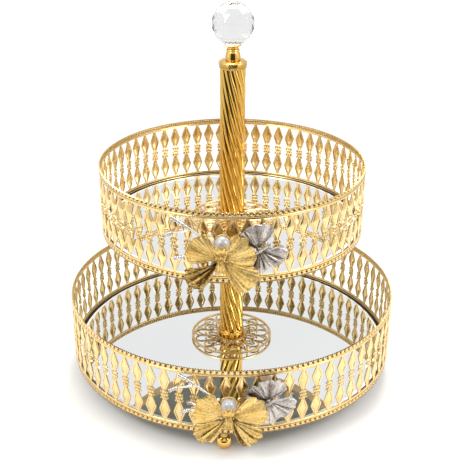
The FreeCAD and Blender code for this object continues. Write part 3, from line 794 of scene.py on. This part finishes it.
NECK_GROOVE = 5.32 * MM     # points closer to the axis than this get painted shade


def neck_profile(low, high):
    """(radius, height) points of the finial's neck, from its foot to its cup."""
    tall = high - low
    points = [(5.9, 0.0), (6.5, 0.02), (6.7, 0.07), (6.65, 0.16), (6.4, 0.28), (6.05, 0.4), (5.75, 0.49),
              (5.5, 0.54), (5.3, 0.56), (5.45, 0.585), (5.65, 0.61), (5.65, 0.65), (5.35, 0.68), (5.15, 0.71),
              (5.15, 0.76), (5.35, 0.81), (5.8, 0.86), (6.4, 0.9), (6.95, 0.94), (7.25, 0.97), (7.2, 1.0),
              (5.9, 1.0)]
    return [(radius * MM, low + tall * share) for radius, share in points]


def finial_neck():
    low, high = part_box("finial_neck")
    profile = neck_profile(low.z, high.z)
    creases = [0.6 if radius < NECK_GROOVE else 0.0 for radius, _ in profile]
    shape = Shape()
    shape.lathe(AXIS, profile, sides=72, crease=creases)
    make("finial_neck_turned", shape, FINIAL_GOLD, "finial", ["finial_neck"], sharp_angle=50)


BALL_RINGS = ((88, 8), (70, 16), (52, 16), (35, 16), (12, 16))   # latitude in degrees, corners in the ring


def crystal_ball():
    """A cut crystal ball: kite facets round its poles and tall facets round its belt."""
    low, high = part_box("crystal_ball")
    centre = centre_of("crystal_ball")
    radius = radius_of("crystal_ball")
    work = bmesh.new()
    rings = [(latitude, corners) for latitude, corners in BALL_RINGS]
    rings += [(-latitude, corners) for latitude, corners in reversed(BALL_RINGS)]
    for number, (latitude, corners) in enumerate(rings):
        up = math.radians(latitude)
        for k in range(corners):
            a = FULL_TURN * (k + 0.5 * (number % 2)) / corners
            out = Vector((math.cos(up) * math.sin(a), -math.cos(up) * math.cos(a), math.sin(up)))
            point = centre + out * radius
            point.z = min(max(point.z, low.z), high.z)
            work.verts.new(point)
    bmesh.ops.convex_hull(work, input=work.verts)
    bmesh.ops.dissolve_limit(work, angle_limit=math.radians(2), verts=work.verts, edges=work.edges)
    mesh = bpy.data.meshes.new("crystal_ball_cut")
    work.to_mesh(mesh)
    work.free()
    mesh.materials.append(CRYSTAL)
    piece = bpy.data.objects.new("crystal_ball_cut", mesh)
    bpy.context.scene.collection.objects.link(piece)
    bevel = piece.modifiers.new("worn_edges", "BEVEL")
    bevel.width = 0.12 * MM
    bevel.segments = 1
    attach(piece, "finial")
    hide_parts("crystal_ball")


FOOT_COUNT = 4
FOOT_BALL = 7 * MM          # radius of a ball
FOOT_SINK = 0.4 * MM        # worn off its underside
FOOT_RING = 142.9 * MM
FOOT_TURN = math.radians(-2.4)
FOOT_STEPS = 20
FOOT_FROM = -1.22           # the ball's outline runs between these latitudes
FOOT_TO = 1.03


def ball_feet():
    """Polished ball feet, each on a short neck with a turned collar."""
    low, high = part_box("ball_feet")
    ball_height = FOOT_BALL - FOOT_SINK
    shape = Shape()
    for foot in range(FOOT_COUNT):
        turn = FOOT_TURN + FULL_TURN * foot / FOOT_COUNT
        centre = on_ring(FOOT_RING, turn, 0)
        # painted shade under each ball and in the neck's grooves
        profile = [(0.3 * FOOT_BALL * math.cos(FOOT_FROM), 0.0)]
        creases = [0.2]
        for k in range(FOOT_STEPS + 1):
            b = FOOT_FROM + (FOOT_TO - FOOT_FROM) * k / FOOT_STEPS
            profile.append((FOOT_BALL * math.cos(b), max(ball_height + FOOT_BALL * math.sin(b), 0.0)))
            creases.append(0.0)
        neck = high.z - 5 * MM
        for radius, height, crease in ((3.4, 0.0, 0.6), (3.3, 1.0, 0.5), (4.4, 1.3, 0), (4.6, 1.9, 0),
                                       (4.4, 2.5, 0), (3.5, 2.9, 0.6), (5.2, 3.4, 0.1), (5.4, 5.0, 0.1)):
            profile.append((radius * MM, neck + height * MM))
            creases.append(crease)
        shape.lathe(centre, profile, sides=48, crease=creases)
    make("ball_feet_polished", shape, FINIAL_GOLD, "base", ["ball_feet"])


# ---------------------------------------------------------------- flowers and twigs

class Spray:
    """A flat frame in front of a tray's gallery, in which a flower is laid out."""

    def __init__(self, tier, anchor, standoff):
        radius = radius_of(f"{tier}_top_rail") + standoff
        turn = math.asin((anchor.x - AXIS.x) / radius)
        self.across = Vector((math.cos(turn), math.sin(turn), 0))
        self.outward = Vector((math.sin(turn), -math.cos(turn), 0))
        self.root = on_ring(radius, turn, anchor.z)

    def at(self, across, height, out=0.0):
        """A point in millimetres from the spray's root."""
        return self.root + (self.across * across + UP * height + self.outward * out) * MM


def uneven(chance, count, length):
    """count values from 0 to 1 that wander smoothly, with bumps about length values long."""
    knots = [chance.random() for _ in range(count // length + 3)]
    values = []
    for i in range(count):
        share, number = math.modf(i / length)
        blend = smooth(0, 1, share)
        values.append(knots[int(number)] * (1 - blend) + knots[int(number) + 1] * blend)
    return values


PETAL_COLUMNS = 96
PETAL_ROWS = 26
PETAL_HALF_THICKNESS = 0.4  # in mm
RIB_LENGTH = 2              # columns from one bump to the next: of a rib,
PIT_LENGTH = 3              # of the casting's grain,
BITE_LENGTH = 5             # of the rim's unevenness
FOLD_LENGTH = 9             # and of a broad fold


def petal(shape, spray, direction, reach, spread, lift=3.5, ruffle=0.6, folds=0.0, curl=0.0, seed=0):
    """A broad fan petal with uneven radial ribs and a wavy rim. Angles are in degrees, the rest in mm.

    folds deepens its lengthwise folds and darkens them with painted shade, and curl rolls its sides towards
    the front."""
    chance = random.Random(seed)
    phase = chance.uniform(0, FULL_TURN)
    notch = chance.uniform(-0.3, 0.3)
    ribs = uneven(chance, PETAL_COLUMNS + 1, RIB_LENGTH)
    broad = uneven(chance, PETAL_COLUMNS + 1, FOLD_LENGTH)
    rim_bites = uneven(chance, PETAL_COLUMNS + 1, BITE_LENGTH)
    rows = []
    creases = []
    for r in range(PETAL_ROWS):
        t = 0.05 + 0.95 * (r / (PETAL_ROWS - 1)) ** 0.85
        along = smooth(0.1, 0.35, t) * (1 - 0.75 * smooth(0.7, 1.0, t))
        pits = uneven(chance, PETAL_COLUMNS + 1, PIT_LENGTH)
        front = []
        back = []
        depths = []
        for c in range(PETAL_COLUMNS + 1):
            s = 2 * c / PETAL_COLUMNS - 1
            rim = 1 - 0.15 * s ** 4 - 0.04 * s * s + 0.03 * math.cos(4.5 * math.pi * s + phase)
            rim -= 0.05 * math.exp(-((s - notch) / 0.1) ** 2) + 0.05 * rim_bites[c] * smooth(0.7, 1.0, t)
            widening = 0.5 + 0.5 * smooth(-0.15, 0.6, t)
            angle = math.radians(direction + s * spread * widening)
            distance = reach * t * rim
            wave = ruffle * t ** 2 * math.sin(2.6 * math.pi * s + phase)
            out = lift * math.sin(math.pi * 0.62 * t) - 2.2 * s * s * t + wave
            out += curl * s * s * math.sin(math.pi * 0.7 * t)
            out += (0.35 * ribs[c] + 0.2 * pits[c]) * t ** 0.4 + 1.3 * folds * broad[c] * along
            x = distance * math.cos(angle)
            y = distance * math.sin(angle)
            front.append(spray.at(x, y, out + PETAL_HALF_THICKNESS))
            back.append(spray.at(x, y, out - PETAL_HALF_THICKNESS))
            # painted shade: in the grooves between ribs, in the fold valleys, at the root, and in patches
            # over deeply folded petals
            groove = (1 - ribs[c]) ** 3 * (0.45 + 0.5 * folds) * (0.4 + 0.6 * pits[c])
            valley = 1.4 * folds * smooth(0.6, 0.2, broad[c]) * along
            root_shade = (0.3 + 0.4 * folds) * (1 - smooth(0.08, 0.36, t))
            patchy_fold_shade = 0.8 * max(0.0, folds - 0.6) * pits[c]
            depths.append(min(1.0, groove + valley * (0.5 + 0.5 * pits[c]) + root_shade + patchy_fold_shade))
        rows.append(front + back[::-1])
        creases.append(depths + depths[::-1])
    shape.loops(rows, creases)


PRONG_STEPS = 8


def prong(shape, spray, start, end, thick, bow=1.0, crease=0.15):
    """A pointed sepal that bows outwards from start to end, each (across, height, out) in mm."""
    points = []
    radii = []
    for k in range(PRONG_STEPS + 1):
        t = k / PRONG_STEPS
        spot = Vector(start).lerp(Vector(end), t)
        points.append(spray.at(spot.x, spot.y, spot.z + bow * math.sin(math.pi * t)))
        radii.append(thick * MM * (0.25 + math.sin(math.pi * (0.15 + 0.8 * t))) * 0.8)
    shape.tube(points, radii, flat=0.6, across=spray.outward, crease=crease)


# (direction, reach, spread, folds, curl) of each petal, in degrees and mm
GOLD_PETALS = {
    "lower": ((157, 30, 38, 0.2, 0), (16, 32, 35, 0.2, 0), (219, 33, 23, 0.9, 0.5), (314, 33, 26, 1.0, 0.5)),
    "upper": ((151, 29, 36, 0.2, 0), (30, 29, 40, 0.15, 0), (217, 33, 23, 1.6, 2.5), (322, 34, 29, 0.35, 0)),
}
SILVER_PETALS = {
    "lower": ((78, 22, 46, 0.55, 0), (143, 22, 28, 1.1, 1.5), (335, 24, 34, 0.6, 0.5), (270, 22, 38, 0.5, 0)),
    "upper": ((90, 23, 40, 0.5, 0), (140, 22, 24, 0.9, 1.0), (335, 23, 34, 0.8, 1.0), (268, 21, 34, 0.8, 0)),
}
GOLD_STANDOFF = 8.5 * MM
SILVER_STANDOFF = 4 * MM
FLOWER_BELOW_BEAD = {"lower": (0, -12), "upper": (-1, -15.5)}     # from the bead's centre, in mm
LOOP_STEPS = 12
STAMEN_STEPS = 24
STAMEN_HAIRS = 26


def gold_root(tier):
    across, height = FLOWER_BELOW_BEAD[tier]
    return centre_of(f"{tier}_bead") + Vector((across, 0, height)) * MM


def gold_flower(tier, body):
    """The gold flower: four fan petals, a ribbed throat down to the rail and a small loop petal."""
    spray = Spray(tier, gold_root(tier), GOLD_STANDOFF)
    shape = Shape()
    for number, (direction, reach, spread, folds, curl) in enumerate(GOLD_PETALS[tier]):
        petal(shape, spray, direction, reach, spread, folds=folds, curl=curl, seed=20 + number)
    # throat ribs: every other one gets more painted shade
    for k in range(-3, 4):
        lean = k / 3
        prong(shape, spray, (1.6 * lean, 3, 3.0), (4.2 * lean, -11.5 - 1.5 * abs(lean), 1.5), 0.8,
              crease=0.15 + 0.3 * (k % 2))
    for k in range(-2, 3):
        prong(shape, spray, (1.1 * k, 1, 3.5), (2.4 * k, 9 - abs(k), 3.0), 0.75, crease=0.1 + 0.25 * (k % 2))
    chance = random.Random(3)
    for _ in range(26):
        spot = spray.at(chance.uniform(-4, 4), chance.uniform(-4, 6), 3.4 + chance.uniform(0, 1.3))
        shape.bead(spot, chance.uniform(0.5, 0.95) * MM, crease=chance.uniform(0, 0.6), sides=7, rings=5)
    turns = [FULL_TURN * k / LOOP_STEPS for k in range(LOOP_STEPS + 1)]
    loop = [spray.at(8 + 4 * math.cos(a), 6 + 2.2 * math.sin(a), 1.5 + math.sin(a)) for a in turns]
    shape.tube(loop, [0.9 * MM] * len(loop), flat=0.7, across=spray.outward, crease=0.3)
    make(f"{tier}_gold_flower_cast", shape, FLOWER_GOLD, body, [f"{tier}_gold_flower"],
         sharp_angle=70)


def silver_spray(tier):
    return Spray(tier, centre_of(f"{tier}_stamen") - Vector((1.4, 0, 0.4)) * MM, SILVER_STANDOFF)


def silver_flower(tier, body):
    """The silver flower behind it: ribbed fan petals with dark roots and a dark centre, painted shade."""
    spray = silver_spray(tier)
    shape = Shape()
    for number, (direction, reach, spread, folds, curl) in enumerate(SILVER_PETALS[tier]):
        petal(shape, spray, direction, reach, spread, lift=2.2, folds=folds, curl=curl, seed=40 + number)
    shape.bead(spray.at(0, 0, 1.0), 2.6 * MM, crease=0.6)
    make(f"{tier}_silver_flower_cast", shape, SILVER, body, [f"{tier}_silver_flower"],
         sharp_angle=70)


def stamen(tier, body):
    """A ribbed bar across the silver flower, with a tuft of fine hairs at its upper end."""
    spray = silver_spray(tier)
    shape = Shape()
    points = []
    radii = []
    for k in range(STAMEN_STEPS + 1):
        t = k / STAMEN_STEPS
        points.append(spray.at(-7 + 14 * t, -3.8 + 7.6 * t, 3.2 + math.sin(math.pi * t)))
        radii.append((1.0 + 0.35 * (k % 2)) * MM)
    shape.tube(points, radii, crease=0.25)
    chance = random.Random(7)
    for _ in range(STAMEN_HAIRS):
        a = chance.uniform(-0.9, 1.9)
        far = chance.uniform(3.0, 5.5)
        prong(shape, spray, (4.5, 1.8, 3.0), (5.5 + far * math.cos(a), 2.4 + far * math.sin(a), 4.2), 0.42,
              bow=0.6, crease=chance.uniform(0.1, 0.6))
    make(f"{tier}_stamen_ribbed", shape, SILVER, body, [f"{tier}_stamen"])


# (start, end) of each stem as (across, height) in mm from the gold flower's root
STEMS = {
    "lower": (((-8, 13), (-41, 32)), ((-29, 26), (-48, 15)), ((-17, 4), (-39, -4)), ((-21, 4.5), (-34, 6))),
    "upper": (((-4, 10), (-39, 30)), ((-26, 22), (-45, 13)), ((-13, 0.5), (-38, -5.5))),
}


STEM_STEPS = 40
FIRST_POD_STEP = 26         # the seed pod's dark spots, painted shade of its hollows, start here


def twigs(tier, body):
    """Silver stems that fork to the left of the flowers, with seed pods at their ends whose hollows are small
    dark beads of painted shade.
    """
    root = gold_root(tier)
    reach = radius_of(f"{tier}_top_rail") + 2.6 * MM
    chance = random.Random(5)
    shape = Shape()
    for start, end in STEMS[tier]:
        points = []
        radii = []
        for k in range(STEM_STEPS + 1):
            t = k / STEM_STEPS
            across = root.x + (start[0] + (end[0] - start[0]) * t) * MM
            height = root.z + (start[1] + (end[1] - start[1]) * t + 1.1 * math.sin(math.pi * t)) * MM
            out = reach + (3.5 * (1 - t) + 0.5 + 0.6 * math.sin(2.3 * math.pi * t)) * MM
            points.append(on_ring(out, math.asin(across / out), height))
            pod = smooth(0.62, 0.72, t)
            lump = 0.32 * math.sin(1.9 * k) + chance.uniform(-0.1, 0.1)
            radii.append((1.1 + 0.5 * pod + lump * (0.3 + 0.7 * pod)) * MM)
        shape.tube(points, radii, sides=10)
        # pairs of fully dark beads: painted shade of the pods' hollows
        for k in range(FIRST_POD_STEP, STEM_STEPS, 3):
            along = (points[k] - points[k - 1]).normalized()
            outward = points[k] - AXIS
            outward.z = 0
            outward.normalize()
            side = along.cross(outward).normalized()
            for way in (-0.5, 0.5):
                spot = points[k] + outward * radii[k] * 0.8 + side * radii[k] * way
                shape.bead(spot, 0.5 * MM, crease=1.0, sides=6, rings=4)
    across, height = STEMS[tier][0][0]
    knot = on_ring(reach + 2 * MM, math.asin((root.x + across * MM) / reach), root.z + height * MM)
    shape.bead(knot, 1.7 * MM, crease=0.15)
    make(f"{tier}_twigs_knotted", shape, TWIG_SILVER, body, [f"{tier}_twigs"], sharp_angle=60)


BEAD_STEPS = 24
BORE_LATITUDE = 1.42        # where the bead's outline stops, near each end of its bore


def bead(tier, body):
    """A pearly glass bead with a small dimple at each end of its bore."""
    centre = centre_of(f"{tier}_bead")
    radius = radius_of(f"{tier}_bead")
    profile = [(0.5 * MM, centre.z - 0.93 * radius)]
    for k in range(BEAD_STEPS + 1):
        b = BORE_LATITUDE * (2 * k / BEAD_STEPS - 1)
        profile.append((radius * math.cos(b), centre.z + radius * math.sin(b)))
    profile.append((0.5 * MM, centre.z + 0.93 * radius))
    shape = Shape()
    shape.lathe(centre, profile, sides=48)
    make(f"{tier}_bead_pearl", shape, PEARL, body, [f"{tier}_bead"])


CUP_STEPS = 36


def bead_cup(tier, body):
    """The cup behind the bead, two wire rings, with pointed sepals that rise in front of it."""
    centre = centre_of(f"{tier}_bead")
    radius = radius_of(f"{tier}_bead")
    standoff = math.hypot(centre.x - AXIS.x, centre.y - AXIS.y) - radius_of(f"{tier}_top_rail")
    spray = Spray(tier, centre, standoff)
    shape = Shape()
    size = radius / MM
    # the wire rings behind the bead get painted shade
    for out, wide in ((-2.6, 1.0), (-4.2, 0.85)):
        turns = [FULL_TURN * k / CUP_STEPS for k in range(CUP_STEPS + 1)]
        ring = [spray.at(size * wide * math.cos(a), size * wide * math.sin(a), out) for a in turns]
        shape.tube(ring, [0.85 * MM] * len(ring), across=spray.outward, crease=0.3)
    for across, top in ((-4.8, -0.5), (-2.6, 2.4), (-0.2, 1.2), (2.2, 3.0), (4.6, 0.8)):
        prong(shape, spray, (0.45 * across, -size - 2.2, 2.4), (across, top, size * 0.92), 1.25, bow=2.3)
    prong(shape, spray, (5.5, -2.5, 1), (8.6, 4.0, 1.5), 0.7)
    prong(shape, spray, (-5.5, -2.5, 1), (-7.8, 3.0, 1.0), 0.7)
    make(f"{tier}_bead_cup_sepals", shape, FLOWER_GOLD, body, [f"{tier}_bead_cup"], sharp_angle=60)


# ---------------------------------------------------------------- studio

CAMERA_PLACE = Vector((-0.00195, -0.7567, 0.4914))
CAMERA_PITCH = math.radians(65.02)
CAMERA_ROLL = math.radians(-0.237)
CAMERA_YAW = math.radians(0.1)
CAMERA_LENS = 71.77         # mm, on a sensor SENSOR_WIDTH across
SENSOR_WIDTH = 36
FLOOR_RADIUS = 0.55
FLOOR_SIDES = 96
FLOOR_GAP = 0.05 * MM       # the floor lies this far under the feet


def camera():
    data = bpy.data.cameras.new("camera")
    data.lens = CAMERA_LENS
    data.sensor_width = SENSOR_WIDTH
    made = bpy.data.objects.new("camera", data)
    made.location = CAMERA_PLACE
    made.rotation_euler = (CAMERA_PITCH, CAMERA_ROLL, CAMERA_YAW)
    bpy.context.scene.collection.objects.link(made)
    bpy.context.scene.camera = made


def softbox(name, place, target, size, power):
    data = bpy.data.lights.new(name, "AREA")
    data.size = size
    data.energy = power
    made = bpy.data.objects.new(name, data)
    made.location = place
    made.rotation_euler = (target - place).to_track_quat("-Z", "Y").to_euler()
    bpy.context.scene.collection.objects.link(made)


def floor():
    mesh = bpy.data.meshes.new("floor")
    turns = [FULL_TURN * k / FLOOR_SIDES for k in range(FLOOR_SIDES)]
    corners = [(AXIS.x + FLOOR_RADIUS * math.cos(a), AXIS.y + FLOOR_RADIUS * math.sin(a), 0) for a in turns]
    mesh.from_pydata(corners, [], [tuple(range(FLOOR_SIDES))])
    mesh.materials.append(FLOOR)
    made = bpy.data.objects.new("floor", mesh)
    made.location.z = cad_low.z - FLOOR_GAP
    bpy.context.scene.collection.objects.link(made)


ROOM_LIGHT = 0.88
SIDE_LIGHT = 0.55           # added where the side boxes are
OVERHEAD_LIGHT = 0.35       # added above
DOORWAY_SHADE = 0.93        # the share of the light that the doorway takes away
BACKDROP_LIGHT = 1.15       # what the camera itself sees behind the stand
SIDE_BOX_TURN = 1.35        # of a side box's middle, in radians from the front


def world():
    """A white room, brighter at the sides and above, with a dark doorway low in front."""
    made = bpy.data.worlds.new("studio")
    made.use_nodes = True
    bpy.context.scene.world = made
    tree = made.node_tree
    tree.nodes.clear()

    def add(kind, **settings):
        node = tree.nodes.new(kind)
        for key, value in settings.items():
            setattr(node, key, value)
        return node

    def maths(operation, first, second=None):
        node = add("ShaderNodeMath", operation=operation)
        for socket, value in zip(node.inputs, (first, second)):
            if isinstance(value, bpy.types.NodeSocket):
                tree.links.new(value, socket)
            elif value is not None:
                socket.default_value = value
        return node.outputs["Value"]

    def step(value, start, end, low, high):
        node = add("ShaderNodeMapRange", interpolation_type="SMOOTHSTEP")
        for name, number in (("From Min", start), ("From Max", end), ("To Min", low), ("To Max", high)):
            node.inputs[name].default_value = number
        tree.links.new(value, node.inputs["Value"])
        return node.outputs["Result"]

    direction = add("ShaderNodeSeparateXYZ")
    tree.links.new(add("ShaderNodeTexCoord").outputs["Generated"], direction.inputs[0])
    x, y, z = direction.outputs
    turn = maths("ABSOLUTE", maths("ARCTAN2", x, maths("MULTIPLY", y, -1.0)))
    doorway = maths("MULTIPLY", step(turn, 0.52, 0.70, 1, 0), step(z, 0.30, 0.42, 1, 0))
    doorway = maths("MULTIPLY", doorway, step(z, -0.85, -0.75, 0, 1))
    from_box = maths("ABSOLUTE", maths("SUBTRACT", turn, SIDE_BOX_TURN))
    side_boxes = maths("MULTIPLY", step(from_box, 0.2, 0.4, 1, 0), step(z, -0.1, 0.1, 0, 1))
    overhead = step(z, 0.6, 0.8, 0, 1)
    strength = maths("MULTIPLY", side_boxes, SIDE_LIGHT)
    strength = maths("ADD", strength, maths("MULTIPLY", overhead, OVERHEAD_LIGHT))
    strength = maths("ADD", strength, ROOM_LIGHT)
    shade = maths("MULTIPLY", doorway, DOORWAY_SHADE)
    strength = maths("MULTIPLY", strength, maths("SUBTRACT", 1.0, shade))
    seen = add("ShaderNodeMix", data_type="FLOAT")
    tree.links.new(add("ShaderNodeLightPath").outputs["Is Camera Ray"], seen.inputs["Factor"])
    tree.links.new(strength, seen.inputs[2])
    seen.inputs[3].default_value = BACKDROP_LIGHT
    background = add("ShaderNodeBackground")
    background.inputs["Color"].default_value = (1.0, 0.995, 0.985, 1)
    tree.links.new(seen.outputs[0], background.inputs["Strength"])
    tree.links.new(background.outputs[0], add("ShaderNodeOutputWorld").inputs["Surface"])


def studio():
    camera()
    floor()
    world()
    middle = (cad_low + cad_high) / 2
    softbox("key", Vector((-0.9, -0.7, 1.3)), middle, 0.5, 8)
    softbox("fill", Vector((1.0, -0.5, 1.1)), middle, 0.5, 6)
    softbox("back", Vector((0.2, 0.9, 1.8)), middle, 0.7, 18)
    bpy.context.scene.view_settings.view_transform = "Standard"


# ---------------------------------------------------------------- the whole stand

finish_cad_nodes()
for tier_name, tray_body in TRAYS.items():
    rail(tier_name, "top", tray_body)
    rail(tier_name, "bottom", tray_body)
    balusters(tier_name, tray_body)
    mirror_pad(tier_name, tray_body)
    mirror(tier_name, tray_body)
    fluted_column(tier_name)
    leaf_collar(tier_name)
    rosette(tier_name)
    gold_flower(tier_name, tray_body)
    silver_flower(tier_name, tray_body)
    stamen(tier_name, tray_body)
    twigs(tier_name, tray_body)
    bead(tier_name, tray_body)
    bead_cup(tier_name, tray_body)
column_cap()
finial_neck()
crystal_ball()
ball_feet()
studio()
